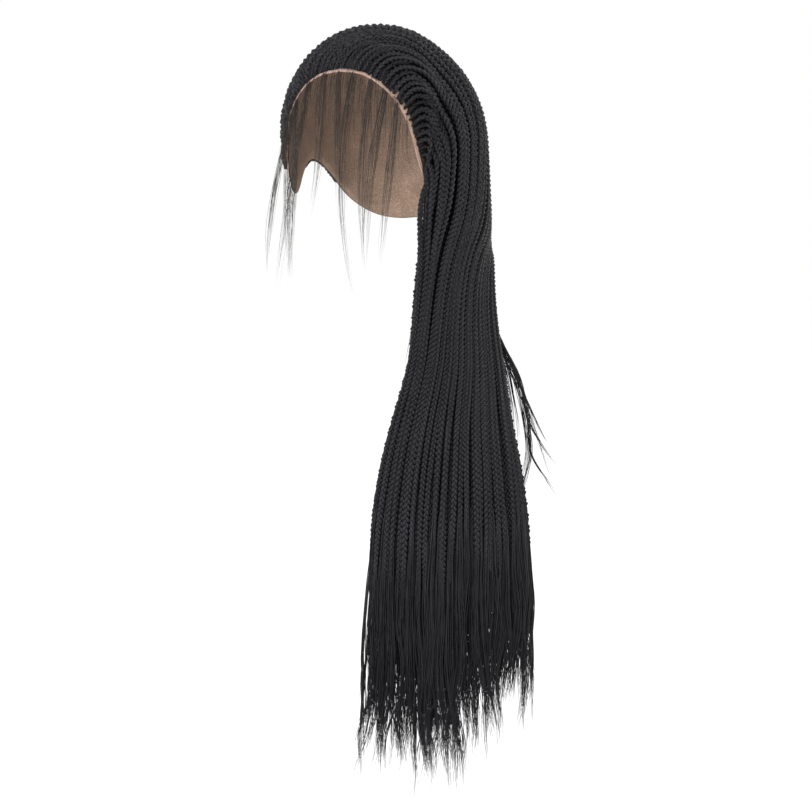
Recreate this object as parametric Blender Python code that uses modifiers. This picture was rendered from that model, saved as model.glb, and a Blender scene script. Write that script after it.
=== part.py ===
"""Braided wig in its worn form, swept back from the hairline and hung over the left shoulder.

Metres. Origin at the inside of the crown where the cap sits on a head.
+Z up, the wearer faces -Y, the wearer's left is +X.
"""
import bpy
import numpy as np

for old in list(bpy.data.objects):
    bpy.data.objects.remove(old, do_unlink=True)

MM = 0.001

# Head that the cap was knotted on: half width, half depth, crown height, lower half height.
HEAD_HALF_WIDTH = 73.0 * MM
HEAD_HALF_DEPTH = 93.0 * MM
HEAD_CROWN = 95.0 * MM
HEAD_LOWER = 125.0 * MM
HEAD_SQUARENESS = 2.2

CAP_WALL = 1.4 * MM
LACE_WALL = 1.0 * MM
JOINS = (0.25, 0.5, 0.75)      # stations between the head and the hanging mass
SEAM_DIP = 0.35          # degrees between the cap's front edge and the lace

LOCK_THICK = 3.3 * MM    # on the head
LOCK_THICK_HANG = 6.3 * MM
LOCK_PITCH_HANG = 7.3 * MM
LOCK_SIDE_GAP = 0.35 * MM
ROOT_LIFT = 0.5 * MM     # root end above the cap
ROOT_INSET = 7.0 * MM    # root end behind the edge
TAB_ROOT_DIP = 99.0      # lowest roots on the tabs in front of the ears
FALL_OUT = 21.0 * MM     # how far the hair stays out where the head draws in under its widest part

# Edge of the wig from the front centre to the back centre, one side.
EDGE_COLUMNS = ("bearing", "dip", "lace")
EDGE = [
    (0, 51.5, 12.0),
    (10, 52.4, 12.0),
    (20, 54.5, 12.0),
    (32, 60.5, 11.0),
    (41, 68.0, 10.0),
    (47, 76.0, 9.0),
    (51, 84.0, 8.0),
    (54, 92.0, 6.0),
    (58, 99.0, 3.0),
    (64, 105.0, 0.0),
    (72, 108.0, 0.0),
    (80, 105.0, 0.0),
    (87, 99.0, 0.0),
    (94, 94.5, 0.0),
    (103, 94.5, 0.0),
    (113, 99.0, 0.0),
    (126, 108.0, 0.0),
    (143, 115.0, 0.0),
    (162, 118.0, 0.0),
    (180, 118.0, 0.0),
]

# Way of the hair over the head, by share of the hanging width, front edge 0 to rear edge 1.
# root is measured along the edge from the front centre, plus towards the wearer's left.
FLOW_COLUMNS = ("share", "root_mm", "rise_bearing", "rise_dip",
                "fall_bearing", "fall_dip", "exit_bearing", "exit_dip")
FLOW = [
    (0.00, 106, 66, 86, 64, 98, 59, 109),
    (0.15, 56, 56, 50, 77, 66, 74, 110),
    (0.30, 0, 14, 20, 90, 50, 88, 111),
    (0.45, -52, -71, 42, 115, 47, 100, 112),
    (0.60, -100, -87, 61, 130, 55, 113, 114),
    (0.75, -150, -102, 73, 149, 67, 126, 116),
    (0.90, -205, -125, 85, 168, 86, 140, 118),
    (1.00, -235, -140, 104, 178, 108, 150, 121),
]

# Hanging mass: inner face at each height, from its front edge to its rear edge.
HANG_COLUMNS = ("height", "front_x", "front_y", "rear_x", "rear_y", "bulge")
HANG = [
    (-190, 46, -51, 74, 45, 10),
    (-225, 44, -54, 78, 37, 6),
    (-255, 46, -61, 91, 22, 6),
    (-290, 46, -72, 111, -1, 9),
    (-325, 44, -83, 130, -22, 10),
    (-360, 41, -91, 146, -36, 10),
    (-400, 38, -96, 158, -46, 11),
    (-460, 36, -99, 165, -53, 12),
    (-550, 37, -100, 167, -57, 12),
    (-660, 36, -99, 165, -57, 12),
]

# Stations over the head, as a share of the way from root to exit, and the inner
# faces of the three layers there.
RISE_COLUMNS = ("station", "outer", "middle", "inner")
RISE = [
    (0.00, 0.6, 0.0, 0.0),
    (0.09, 2.6, 0.0, 0.0),
    (0.18, 5.0, 0.0, 0.0),
    (0.27, 7.8, 1.0, 0.0),
    (0.36, 8.0, 3.0, 0.0),
    (0.45, 7.9, 3.5, 0.0),
    (0.52, 7.6, 3.3, 0.0),
    (0.58, 7.4, 3.2, 0.0),
    (0.64, 7.6, 3.4, 0.0),
    (0.70, 9.6, 5.2, 0.0),
    (0.77, 12.2, 7.2, 1.0),
    (0.85, 12.8, 7.9, 2.8),
    (0.92, 12.4, 7.7, 2.8),
    (1.00, 13.6, 8.6, 3.6),
]

# Layers of locks: how many, the shares that they fill, the first station they have.
LAYER_COLUMNS = ("layer", "locks", "share_from", "share_to", "first_station", "hang_index")
LAYERS = [
    ("outer", 11, 0.00, 1.00, 0, 2),
    ("middle", 9, 0.05, 0.95, 3, 1),
    ("inner", 7, 0.12, 0.88, 10, 0),
]

# Where the hanging locks end, by share.
TIP_COLUMNS = ("share", "height")
TIP = [(0.0, -616), (0.12, -620), (0.28, -630), (0.42, -630), (0.56, -618),
       (0.70, -590), (0.82, -568), (0.92, -562), (1.0, -558)]

# Free strands: points in millimetres from root to tip and the strand's width.
STRAND_COLUMNS = ("name", "width_mm", "root_bearing", "root_dip", "points")
STRANDS = [
    ("strand_back_1", 8.0, 165, 113, [
        (24, 87, -166), (40, 90, -178), (56, 84, -188), (69, 71, -206), (77, 57, -226),
        (86, 47, -251), (101, 38, -272), (117, 30, -293), (125, 26, -312), (131, 22, -340),
        (133, 21, -358), (129, 20, -380), (123, 17, -404), (120, 14, -430)]),
    ("strand_back_2", 5.5, 176, 113, [
        (10, 91, -165), (28, 97, -182), (49, 94, -194), (63, 81, -208), (71, 67, -226),
        (81, 57, -251), (96, 48, -272), (111, 41, -292), (121, 37, -312), (130, 34, -332),
        (143, 31, -362), (155, 29, -392)]),
]

# Short hair left out in front of the edge: side and drop are where the wisp ends.
WISP_COLUMNS = ("bearing", "drop_mm", "side_mid_mm", "side_end_mm", "ahead_mm", "width_mm")
WISPS = [
    (-51, 118, -7, -14, 4, 3.4),
    (-46, 142, 1, 6, 8, 4.0),
    (-40, 150, 5, 2, 12, 3.4),
    (-28, 172, -3, -18, 15, 4.2),
    (-14, 120, 3, -4, 15, 3.2),
    (0, 128, 2, 5, 15, 3.2),
    (13, 180, -7, 4, 15, 4.0),
    (26, 150, -5, -3, 15, 3.4),
    (36, 150, -8, -16, 13, 4.2),
    (43, 142, -4, -15, 11, 4.2),
]
STRIP_END = 52.5          # bearing of its ends
STRIP_FRONT_DIP = 0.5
STRIP_REAR_DIP = 2.8
STRIP_WALL = 0.9 * MM

# Section of a lock, as shares of its half width and half thickness. The hidden layers are simpler.
SECTION = [(1.0, 0.42), (0.62, 1.0), (-0.62, 1.0), (-1.0, 0.42),
           (-1.0, -0.42), (-0.62, -1.0), (0.62, -1.0), (1.0, -0.42)]
INNER_SECTION = [(1.0, 0.0), (0.5, 1.0), (-0.5, 1.0), (-1.0, 0.0), (-0.5, -1.0), (0.5, -1.0)]

SLOTS = {
    "hair": ((0.012, 0.012, 0.014), 0.42),
    "cap_net": ((0.030, 0.024, 0.020), 0.85),
    "lace": ((0.62, 0.45, 0.34), 0.80),
}


def column(table, columns, name):
    return np.array([row[columns.index(name)] for row in table], float)


def smooth(x, xs, ys):
    """Smooth curve through the rows of a table."""
    xs, ys = np.asarray(xs, float), np.asarray(ys, float)
    x = min(max(float(x), xs[0]), xs[-1])
    i = int(np.clip(np.searchsorted(xs, x) - 1, 0, len(xs) - 2))
    slope = np.gradient(ys, xs, axis=0)
    step = xs[i + 1] - xs[i]
    t = (x - xs[i]) / step
    return ((2 * t**3 - 3 * t**2 + 1) * ys[i] + (t**3 - 2 * t**2 + t) * step * slope[i]
            + (3 * t**2 - 2 * t**3) * ys[i + 1] + (t**3 - t**2) * step * slope[i + 1])


def ease(x, low, high):
    """Rise from 0 to 1 between low and high, level at both ends."""
    t = min(max((x - low) / (high - low), 0), 1)
    return t * t * (3 - 2 * t)


def unit(v):
    return v / np.linalg.norm(v)


def direction(bearing, dip):
    """Unit vector: bearing turns from the front to the wearer's left, dip falls from the crown."""
    b, d = np.radians(bearing), np.radians(dip)
    return np.array([np.sin(b) * np.sin(d), -np.cos(b) * np.sin(d), np.cos(d)])


def on_head(v, lift=0.0):
    """Point over the head form in the direction v, lifted off it."""
    n = (np.abs(v)**HEAD_SQUARENESS).sum()**(1 / HEAD_SQUARENESS)
    v = v / n
    up = HEAD_CROWN if v[2] >= 0 else HEAD_LOWER
    return np.array([v[0] * (HEAD_HALF_WIDTH + lift), v[1] * (HEAD_HALF_DEPTH + lift),
                     v[2] * (up + lift) - HEAD_CROWN])


def around(table_column):
    """Mirror one side of the edge table to the whole turn, from -180 to +180."""
    half = column(EDGE, EDGE_COLUMNS, table_column)
    sign = -1 if table_column == "bearing" else 1
    return np.concatenate([sign * half[:0:-1], half])


BEARINGS, DIPS, LACES = around("bearing"), around("dip"), around("lace")
EDGE_POINTS = np.array([on_head(direction(b, d)) for b, d in zip(BEARINGS, DIPS)])
EDGE_LENGTH = np.concatenate([[0], np.cumsum(np.linalg.norm(np.diff(EDGE_POINTS, axis=0), axis=1))])
EDGE_LENGTH -= EDGE_LENGTH[len(EDGE) - 1]

SHARES = column(FLOW, FLOW_COLUMNS, "share")
ROOTS = column(FLOW, FLOW_COLUMNS, "root_mm") * MM


def flow_directions(name):
    return np.array([direction(b, d) for b, d in zip(
        column(FLOW, FLOW_COLUMNS, name + "_bearing"), column(FLOW, FLOW_COLUMNS, name + "_dip"))])


RISING, FALLING, LEAVING = (flow_directions(n) for n in ("rise", "fall", "exit"))


def head_point(share, station, lift):
    """Point of the flow over the head."""
    along = smooth(share, SHARES, ROOTS)
    bearing = np.interp(along, EDGE_LENGTH, BEARINGS)
    dip = np.interp(along, EDGE_LENGTH, DIPS)
    root = direction(bearing, min(dip, TAB_ROOT_DIP) if abs(bearing) < 100 else dip)
    rise, fall, leave = (unit(smooth(share, SHARES, rows)) for rows in (RISING, FALLING, LEAVING))
    reach = np.linalg.norm(on_head(rise) - on_head(root))
    t = station + (1 - station) * min(0.3, ROOT_INSET / (3 * reach))
    v = unit((1 - t)**3 * root + 3 * (1 - t)**2 * t * rise + 3 * (1 - t) * t * t * fall
             + t**3 * leave)
    fall_out = FALL_OUT * max(-v[2], 0) * ease(share, 0.2, 0.6) * ease(station, 0.5, 0.9)
    return on_head(v, lift + fall_out)


HEIGHTS = -column(HANG, HANG_COLUMNS, "height")
HANG_ROWS = np.array([row[1:] for row in HANG], float) * MM


def hang_point(share, height_mm, lift):
    """Point of the hanging mass, lift counted outward from its inner face."""
    fx, fy, rx, ry, bulge = smooth(-height_mm, HEIGHTS, HANG_ROWS)
    across = np.array([rx - fx, ry - fy])
    out = unit(np.array([across[1], -across[0]]))
    xy = np.array([fx, fy]) + across * share + out * (bulge * 4 * share * (1 - share) + lift)
    return np.array([xy[0], xy[1], height_mm * MM])


def join_point(share, part, lift):
    """Point between the head and the hanging mass, smooth at both ends."""
    head_lift, hang_lift = lift
    a, a_before = head_point(share, 1.0, head_lift), head_point(share, 0.9, head_lift)
    b = hang_point(share, -HEIGHTS[0], hang_lift)
    b_after = hang_point(share, -HEIGHTS[1], hang_lift)
    reach = np.linalg.norm(b - a)
    start, end = unit(a - a_before) * reach, unit(b_after - b) * reach
    t = part
    return ((2 * t**3 - 3 * t**2 + 1) * a + (t**3 - 2 * t**2 + t) * start
            + (3 * t**2 - 2 * t**3) * b + (t**3 - t**2) * end)


def lock_rings(layer, first, hang_index, share_a, share_b):
    """Section rings of one lock from its root to its tip."""
    mid = (share_a + share_b) / 2
    tip = smooth(mid, column(TIP, TIP_COLUMNS, "share"), column(TIP, TIP_COLUMNS, "height"))
    tip += 9.0 * hang_index - 14.0
    stations = []
    for k, row in enumerate(RISE):
        if k >= first:
            floor = row[RISE_COLUMNS.index(layer)] * MM
            scale = 0.52 if k == first else 1.0
            stations.append((head_point, row[0], floor, LOCK_THICK * scale, scale))
            if k == first and k > 0:
                after = RISE[k + 1]
                step = 0.35 * (after[0] - row[0])
                lift = (1.6 * floor + after[RISE_COLUMNS.index(layer)] * MM) / 2.6
                stations.append((head_point, row[0] + step, lift, LOCK_THICK * 0.48, 0.8))
    low, floor = floor, LOCK_PITCH_HANG * hang_index
    for part in JOINS:
        stations.append((join_point, part, (low, floor), (LOCK_THICK, LOCK_THICK_HANG), 1.0))
    for z in [-z for z in HEIGHTS if -z > tip + 95]:
        stations.append((hang_point, z, floor, LOCK_THICK_HANG, 1.0))
    for back, scale in ((62, 0.95), (26, 0.62), (0, 0.14)):
        low = floor + LOCK_THICK_HANG * (1 - scale) / 2
        stations.append((hang_point, tip + back, low, LOCK_THICK_HANG * scale, scale))
    section = SECTION if layer == "outer" else INNER_SECTION
    rings = []
    for place, at, floor, thick, scale in stations:
        low, thick = np.array(floor), np.array(thick)
        width = np.linalg.norm(place(share_b, at, low) - place(share_a, at, low))
        half = (share_b - share_a) / 2 * (1 - 2 * LOCK_SIDE_GAP / width) * (0.35 + 0.65 * scale)
        rings.append([place(mid + a * half, at, low + thick * (1 + b) / 2) for a, b in section])
    return rings


def material(slot):
    found = bpy.data.materials.get(slot)
    if found is None:
        found = bpy.data.materials.new(slot)
        found.use_nodes = True
        shader = found.node_tree.nodes["Principled BSDF"]
        colour, rough = SLOTS[slot]
        shader.inputs["Base Color"].default_value = (*colour, 1)
        shader.inputs["Roughness"].default_value = rough
        found.diffuse_color = (*colour, 1)
    return found


def mesh_object(name, points, faces, slot, group):
    mesh = bpy.data.meshes.new(name)
    mesh.from_pydata([tuple(float(c) for c in p) for p in points], [], faces)
    mesh.validate()
    mesh.update()
    made = bpy.data.objects.new(name, mesh)
    mesh.materials.append(material(slot))
    group.objects.link(made)
    return made


def loft(rings):
    """Closed skin over rings of equal count, ends closed flat."""
    count = len(rings[0])
    points = [p for ring in rings for p in ring]
    faces = []
    for i in range(len(rings) - 1):
        for j in range(count):
            k = (j + 1) % count
            a, b, c, d = i * count + j, i * count + k, (i + 1) * count + k, (i + 1) * count + j
            # facing sides of neighbours are split along the same diagonal
            faces += [(a, b, c), (a, c, d)] if j < count // 2 else [(a, b, d), (b, c, d)]
    faces.append(tuple(reversed(range(count))))
    faces.append(tuple((len(rings) - 1) * count + j for j in range(count)))
    return points, faces


def facing_out(points, faces):
    """Turn the faces round if the closed skin encloses a negative volume."""
    p = np.array(points)
    volume = sum(np.dot(p[f[0]], np.cross(p[f[i]], p[f[i + 1]])) for f in faces
                 for i in range(1, len(f) - 1))
    return faces if volume > 0 else [tuple(reversed(f)) for f in faces]


def cap(group):
    """Hollow cap from the crown to its edge, behind the lace at the front."""
    depths = (0.14, 0.3, 0.46, 0.62, 0.77, 0.89, 1.0)
    bearings, dips = BEARINGS[:-1], DIPS[:-1]
    laces = LACES[:-1]
    edge = dips - laces - np.where(laces > 0, SEAM_DIP, 0)
    points = [on_head(direction(0, 0))]
    for depth in depths:
        points += [on_head(direction(b, e * depth)) for b, e in zip(bearings, edge)]
    count = len(bearings)
    faces = [(0, 1 + j, 1 + (j + 1) % count) for j in range(count)]
    for i in range(len(depths) - 1):
        for j in range(count):
            a, b = 1 + i * count + j, 1 + i * count + (j + 1) % count
            faces.append((a, a + count, b + count, b))
    made = mesh_object("cap", points, faces, "cap_net", group)
    shell(made, CAP_WALL)


def shell(made, wall):
    wall_modifier = made.modifiers.new("wall", "SOLIDIFY")
    wall_modifier.thickness = wall
    wall_modifier.offset = -1.0
    wall_modifier.use_even_offset = True


def lace_front(group):
    """Fine band along the front of the hairline, with the cap's edge behind it."""
    keep = [i for i in range(len(BEARINGS)) if LACES[i] > 0]
    rows = (0.0, 0.5, 1.0)
    points = [on_head(direction(BEARINGS[i], DIPS[i] - LACES[i] * (1 - r))) for r in rows for i in keep]
    count = len(keep)
    faces = [(r * count + i, (r + 1) * count + i, (r + 1) * count + i + 1, r * count + i + 1)
             for r in range(len(rows) - 1) for i in range(count - 1)]
    made = mesh_object("lace_front", points, faces, "lace", group)
    shell(made, LACE_WALL)


def wisp(row):
    """Thin tapered tail that leaves the edge and falls in front of the brow."""
    bearing, drop, side_mid, side_end, ahead, width = row
    dip = np.interp(bearing, BEARINGS, DIPS)
    lift = ROOT_LIFT + STRIP_WALL / 2
    root = on_head(direction(bearing, dip - 1.8), lift)
    lip = on_head(direction(bearing, dip + 1.0), lift + 1.2 * MM)
    outward = unit(np.array([lip[0] * 0.6, lip[1], 0]))
    sideways = np.array([np.cos(np.radians(25)), np.sin(np.radians(25)), 0])
    half_wide = np.array([-outward[1], outward[0], 0])
    if half_wide[0] < 0:
        half_wide = -half_wide
    rings = []
    for place, scale in ((root, 0.8), (lip, 1.0)):
        rings.append([place + half_wide * a * width * MM / 2 * scale
                      + outward * b * 0.35 * MM + np.array([0, 0, 0.35 * MM * b])
                      for a, b in ((1, 0), (0, 1), (-1, 0), (0, -1))])
    for t, scale in ((0.16, 1.0), (0.38, 0.85), (0.62, 0.65), (0.82, 0.45), (1.0, 0.12)):
        swing = side_mid * 4 * t * (1 - t) + side_end * t * t
        place = lip + np.array([0, 0, -drop * t * MM]) + sideways * swing * MM
        place = place + outward * ahead * MM * (1 - (1 - t)**2)
        rings.append([place + half_wide * a * width * MM / 2 * scale + outward * b * 0.6 * MM * scale
                      for a, b in ((1, 0), (0, 1), (-1, 0), (0, -1))])
    return rings


def baby_hair(group, tools):
    """Backing strip along the hairline with the wisps fused to it."""
    bearings = sorted({b for b in BEARINGS if abs(b) < STRIP_END}
                      | {side * b for side in (-1, 1) for b in (26.0, 36.5, 44.0, 49.0, STRIP_END)})
    points = []
    for b in bearings:
        dip = np.interp(b, BEARINGS, DIPS)
        for off, lift in ((STRIP_REAR_DIP, 0), (STRIP_REAR_DIP, 1), (STRIP_FRONT_DIP, 1),
                          (STRIP_FRONT_DIP, 0)):
            points.append(on_head(direction(b, dip - off), ROOT_LIFT + lift * STRIP_WALL))
    rings = [points[i:i + 4] for i in range(0, len(points), 4)]
    skin, faces = loft(rings)
    strip = mesh_object("baby_hair", skin, facing_out(skin, faces), "hair", group)
    for i, row in enumerate(WISPS):
        skin, faces = loft(wisp(row))
        tail = mesh_object("wisp_guide_%02d" % i, skin, facing_out(skin, faces), "hair", tools)
        tail.hide_render = True
        tail.display_type = "WIRE"
    fuse = strip.modifiers.new("wisps", "BOOLEAN")
    fuse.operation = "UNION"
    fuse.operand_type = "COLLECTION"
    fuse.collection = tools
    fuse.solver = "EXACT"


def free_strand(name, width, bearing, dip, path):
    """Round strand that leaves the nape and hangs on its own."""
    way = [on_head(direction(bearing, dip), width * MM * 0.15)]
    way += [np.array(p, float) * MM for p in path]
    rings = []
    for i, place in enumerate(way):
        ahead = unit(way[min(i + 1, len(way) - 1)] - way[max(i - 1, 0)])
        out = unit(np.cross(ahead, np.cross(np.array([place[0], place[1], 0.0]), ahead)))
        side = np.cross(ahead, out)
        scale = 0.55 if i == 0 else (0.15 if i == len(way) - 1 else 1.0)
        if i == len(way) - 2:
            scale = 0.7
        rings.append([place + (side * np.cos(a) + out * np.sin(a)) * width * MM / 2 * scale
                      for a in np.radians(np.arange(0, 360, 60))])
    return rings


def build():
    scene = bpy.context.scene
    wig = bpy.data.collections.new("braid_wig")
    tools = bpy.data.collections.new("guides")
    scene.collection.children.link(wig)
    scene.collection.children.link(tools)
    cap(wig)
    lace_front(wig)
    baby_hair(wig, tools)
    for layer, locks, share_from, share_to, first, hang_index in LAYERS:
        cell = (share_to - share_from) / locks
        for n in range(locks):
            a = share_from + cell * n
            points, faces = loft(lock_rings(layer, first, hang_index, a, a + cell))
            name = "lock_%s_%02d" % (layer, n + 1)
            mesh_object(name, points, facing_out(points, faces), "hair", wig)
    for name, width, bearing, dip, path in STRANDS:
        points, faces = loft(free_strand(name, width, bearing, dip, path))
        mesh_object(name, points, facing_out(points, faces), "hair", wig)


build()
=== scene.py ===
"""Braided wig, dressed: plaits over a net cap, a lace hairline with short hair, and loose ends.

Metres, in the frame of the solids: origin inside the crown, +Z up, the wearer faces -Y.
"""
import math

import bpy
import numpy as np
from mathutils import Matrix, Vector


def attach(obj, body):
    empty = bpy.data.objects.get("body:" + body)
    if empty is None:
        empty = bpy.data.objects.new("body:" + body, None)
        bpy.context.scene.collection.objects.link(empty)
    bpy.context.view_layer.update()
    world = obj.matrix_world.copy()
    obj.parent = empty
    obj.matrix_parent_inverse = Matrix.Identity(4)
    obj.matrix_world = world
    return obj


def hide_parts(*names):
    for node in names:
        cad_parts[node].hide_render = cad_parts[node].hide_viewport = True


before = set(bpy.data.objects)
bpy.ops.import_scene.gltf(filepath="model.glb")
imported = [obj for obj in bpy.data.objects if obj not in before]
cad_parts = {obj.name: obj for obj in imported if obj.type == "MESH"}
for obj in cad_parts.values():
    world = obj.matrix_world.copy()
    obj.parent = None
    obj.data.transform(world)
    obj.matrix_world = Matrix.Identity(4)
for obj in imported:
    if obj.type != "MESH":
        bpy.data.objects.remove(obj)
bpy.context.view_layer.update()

MM = 0.001
BODY = "root"

# Head that the cap was knotted on, as in the solids.
HEAD_HALF_WIDTH = 73.0 * MM
HEAD_HALF_DEPTH = 93.0 * MM
HEAD_CROWN = 95.0 * MM
HEAD_LOWER = 125.0 * MM
HEAD_SQUARENESS = 2.2

CAP_WALL = 1.2 * MM
LACE_WALL = 0.8 * MM
TAB_ROOT_DIP = 99.0      # no root lies lower than this on the tab before the ear
TAB_REAR = 100           # bearing behind which that limit ends
CAP_POLE = 0.06          # first ring of the cap, as a part of the way down to its edge
LACE_SEAM = 0.35         # degrees between the cap's net and the lace
LACE_TRIM = 1.5          # width of the pale strip at the lace's edge, in degrees
FALL_OUT = 21.0 * MM     # hair stays out where the head draws in under its widest part

# Edge of the wig from the front centre to the back centre, one side.
EDGE_COLUMNS = ("bearing", "dip", "lace")
EDGE = [
    (0, 51.5, 12.0), (10, 52.4, 12.0), (20, 54.5, 12.0), (32, 60.5, 11.0), (41, 68.0, 10.0),
    (47, 76.0, 9.0), (51, 84.0, 8.0), (54, 92.0, 6.0), (58, 99.0, 3.0), (64, 105.0, 0.0),
    (72, 108.0, 0.0), (80, 105.0, 0.0), (87, 99.0, 0.0), (94, 94.5, 0.0), (103, 94.5, 0.0),
    (113, 99.0, 0.0), (126, 108.0, 0.0), (143, 115.0, 0.0), (162, 118.0, 0.0), (180, 118.0, 0.0),
]

# Way of the hair over the head, by share of the hanging width, front edge 0 to rear edge 1.
FLOW_COLUMNS = ("share", "root_mm", "rise_bearing", "rise_dip",
                "fall_bearing", "fall_dip", "exit_bearing", "exit_dip")
FLOW = [
    (0.00, 111, 64, 91, 60, 101, 56, 109),
    (0.15, 56, 56, 50, 77, 66, 74, 110),
    (0.30, 0, 14, 20, 90, 50, 88, 111),
    (0.45, -52, -71, 42, 115, 47, 100, 112),
    (0.60, -100, -87, 61, 130, 55, 113, 114),
    (0.75, -150, -102, 73, 149, 67, 126, 116),
    (0.90, -205, -125, 85, 168, 86, 140, 118),
    (1.00, -235, -140, 104, 178, 108, 150, 121),
]

# Hanging mass: inner face at each height, from its front edge to its rear edge.
HANG_COLUMNS = ("height", "front_x", "front_y", "rear_x", "rear_y", "bulge")
HANG = [
    (-190, 46, -51, 74, 45, 10), (-225, 44, -54, 78, 37, 6), (-255, 46, -61, 91, 22, 6),
    (-290, 46, -72, 111, -1, 9), (-325, 44, -83, 130, -22, 10), (-360, 41, -91, 146, -36, 10),
    (-400, 38, -96, 158, -46, 11), (-460, 36, -99, 165, -53, 12), (-550, 37, -100, 167, -57, 12),
    (-660, 36, -99, 165, -57, 12),
]

# How high the outside of the hair stands over the head, by station from root to exit.
HAIR_COLUMNS = ("station", "height_mm")
HAIR = [
    (0.00, 5.4), (0.09, 7.2), (0.18, 8.0), (0.27, 8.0), (0.36, 9.0), (0.45, 10.2), (0.54, 10.4),
    (0.62, 9.6), (0.70, 13.6), (0.77, 17.2), (0.85, 18.4), (0.92, 18.2), (1.00, 19.0),
]
HANG_HEIGHT = 20.4 * MM
FRONT_DROP = 8.0 * MM        # the front rim lies closer to the head
NECK_FULLNESS = 5.0 * MM     # rear hair stands fuller where it turns down
TURN_STATION = 0.86          # the turn at the neck is evened out from here on the head
TURN_HEIGHT = -270           # to this height of the hanging hair, in millimetres
TURN_PASSES = 8
FRONT_INSET = 4.4 * MM       # front braid's centre line behind the front of the hanging solid

# Where the plaits end and where the loose hair under them ends, by share.
END_COLUMNS = ("share", "plait_end", "tip")
ENDS = [
    (0.00, -444, -616), (0.12, -450, -618), (0.28, -456, -620), (0.42, -458, -620),
    (0.56, -454, -608), (0.70, -448, -586), (0.82, -442, -564), (0.92, -440, -552),
    (1.00, -446, -554),
]

# Braids: how many are rooted round the edge and how many further back on the cap.
EDGE_BRAIDS = 72
CAP_BRAIDS = 30
BRAID_WIDTH = 5.8 * MM
BRAID_SPREAD = 5.2 * MM      # beside each other, before they have to pile up
BRAID_STACK = 4.6 * MM       # height between braids that lie on each other
REST_LIFT = 2.8 * MM
PLAIT_PITCH = 13.5 * MM
LEVELS = (1, 2, 0)           # which of three depths each braid along the edge sinks to
RIM = 0.09                   # share over which the hair thins to its front and rear edge
RIM_PILE = 0.15              # how much of the braids' piling is left at that edge
WANDER_ASIDE = 1.3           # slow drift of a braid to the side, in widths of its place
WANDER_HEIGHT = 1.1 * MM
WANDER_ROLL = 0.7
WIDTH_SPREAD = (0.92, 1.10)
FIRST_LIFT = 1.1 * MM        # centre line at the root, and the most at the stop after it
SECOND_LIFT = 2.4 * MM
CAP_SHARES = (0.05, 0.9)     # first share of the braids on the cap, and the span that they cover
CAP_STATIONS = (0.2, 0.4)    # how far back they are rooted
END_SPREAD = 32              # how far the plaits' ends vary, in millimetres
PLAIT_SWAY = 0.27            # of its width, to the side and through the depth
PLAIT_DIVE = 0.22
LOOSEN_LENGTH = 50.0 * MM    # last stretch of a plait, where it comes undone
CLUMPS = 38                  # pointed locks that the loose ends gather in
HEIGHT_STEP = 14.0           # between the stops of a hanging braid, in millimetres
PLAIT_DETAIL = ((2, 1.6 * MM, 5), (1, 2.0 * MM, 4), (0, 3.2 * MM, 3))    # depth, step, sides

# Locks of the solids: how many lie outside, and for each hidden layer the first share, the last
# share and the count.
OUTER_LOCKS = 11
HIDDEN_LOCKS = {"middle": (0.05, 0.95, 9), "inner": (0.12, 0.88, 7)}

# Root hair: tufts to a braid, stations that they cover, lift and width at each stop.
ROOTS_PER_BRAID = 3
ROOT_END = 0.16
ROOT_LIFTS = np.array([0.3, 1.2, 2.2, 2.8, 2.9, 2.4]) * MM
ROOT_TAPER = np.array([0.5, 0.9, 1, 1, 0.9, 0.6])
LACE_END = 62                # bearing past which no hair is knotted into lace
TEMPLE_GAPS = 0.72           # part of the tufts that is left out at the very temple

# Points along the guides of the loose hair.
TAIL_STOPS = 13
STRAND_STOPS = 50
FLICK_STOPS = 20
STRAY_STOPS = 16
WISP_STOPS = 13

# Short hair left out in front of the edge, as the solids have it. Each row: bearing, drop, swing
# halfway and at the end, how far ahead of the edge it hangs, and width, in millimetres.
WISPS = [
    (-51, 118, -7, -14, 4, 3.4), (-46, 142, 1, 6, 8, 4.0), (-40, 150, 5, 2, 12, 3.4),
    (-28, 172, -3, -18, 15, 4.2), (-14, 120, 3, -4, 15, 3.2), (0, 128, 2, 5, 15, 3.2),
    (13, 180, -7, 4, 15, 4.0), (26, 150, -5, -3, 15, 3.4), (36, 150, -8, -16, 13, 4.2),
    (43, 142, -4, -15, 11, 4.2),
]

# Free strands behind the left shoulder: centre line in millimetres from the nape down.
BACK_STRANDS = {
    "strand_back_1": [
        (18, 86, -146), (24, 87, -166), (40, 90, -178), (56, 84, -188), (69, 71, -206),
        (77, 57, -226), (86, 47, -251), (101, 38, -272), (117, 30, -293), (125, 26, -312),
        (131, 22, -340), (133, 21, -358), (129, 20, -380), (123, 17, -404), (120, 14, -430)],
    "strand_back_2": [
        (6, 88, -147), (10, 91, -165), (28, 97, -182), (49, 94, -194), (63, 81, -208),
        (71, 67, -226), (81, 57, -251), (96, 48, -272), (111, 41, -292), (121, 37, -312),
        (130, 34, -332), (143, 31, -362), (155, 29, -392)],
}
BACK_HAIRS = {"strand_back_1": (34, 3.2), "strand_back_2": (12, 1.8)}    # hairs, width in mm
FLAT = np.array([1, 1, 0])   # keeps the flat part of a direction

# Thin flicks that leave the free strands outwards.
BACK_FLICKS = [
    [(113, 33, -288), (123, 29, -304), (135, 29, -328), (149, 30, -354)],
    [(124, 28, -310), (131, 26, -332), (142, 26, -350), (158, 27, -370)],
    [(131, 23, -344), (136, 22, -362), (147, 25, -380), (159, 27, -398)],
    [(86, 50, -248), (98, 40, -272), (110, 32, -300), (117, 26, -330), (120, 24, -360)],
    [(90, 46, -254), (106, 36, -282), (116, 28, -312), (122, 24, -340), (123, 20, -366)],
    [(80, 56, -236), (92, 44, -262), (104, 34, -288), (112, 28, -318), (116, 24, -350)],
]

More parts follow.
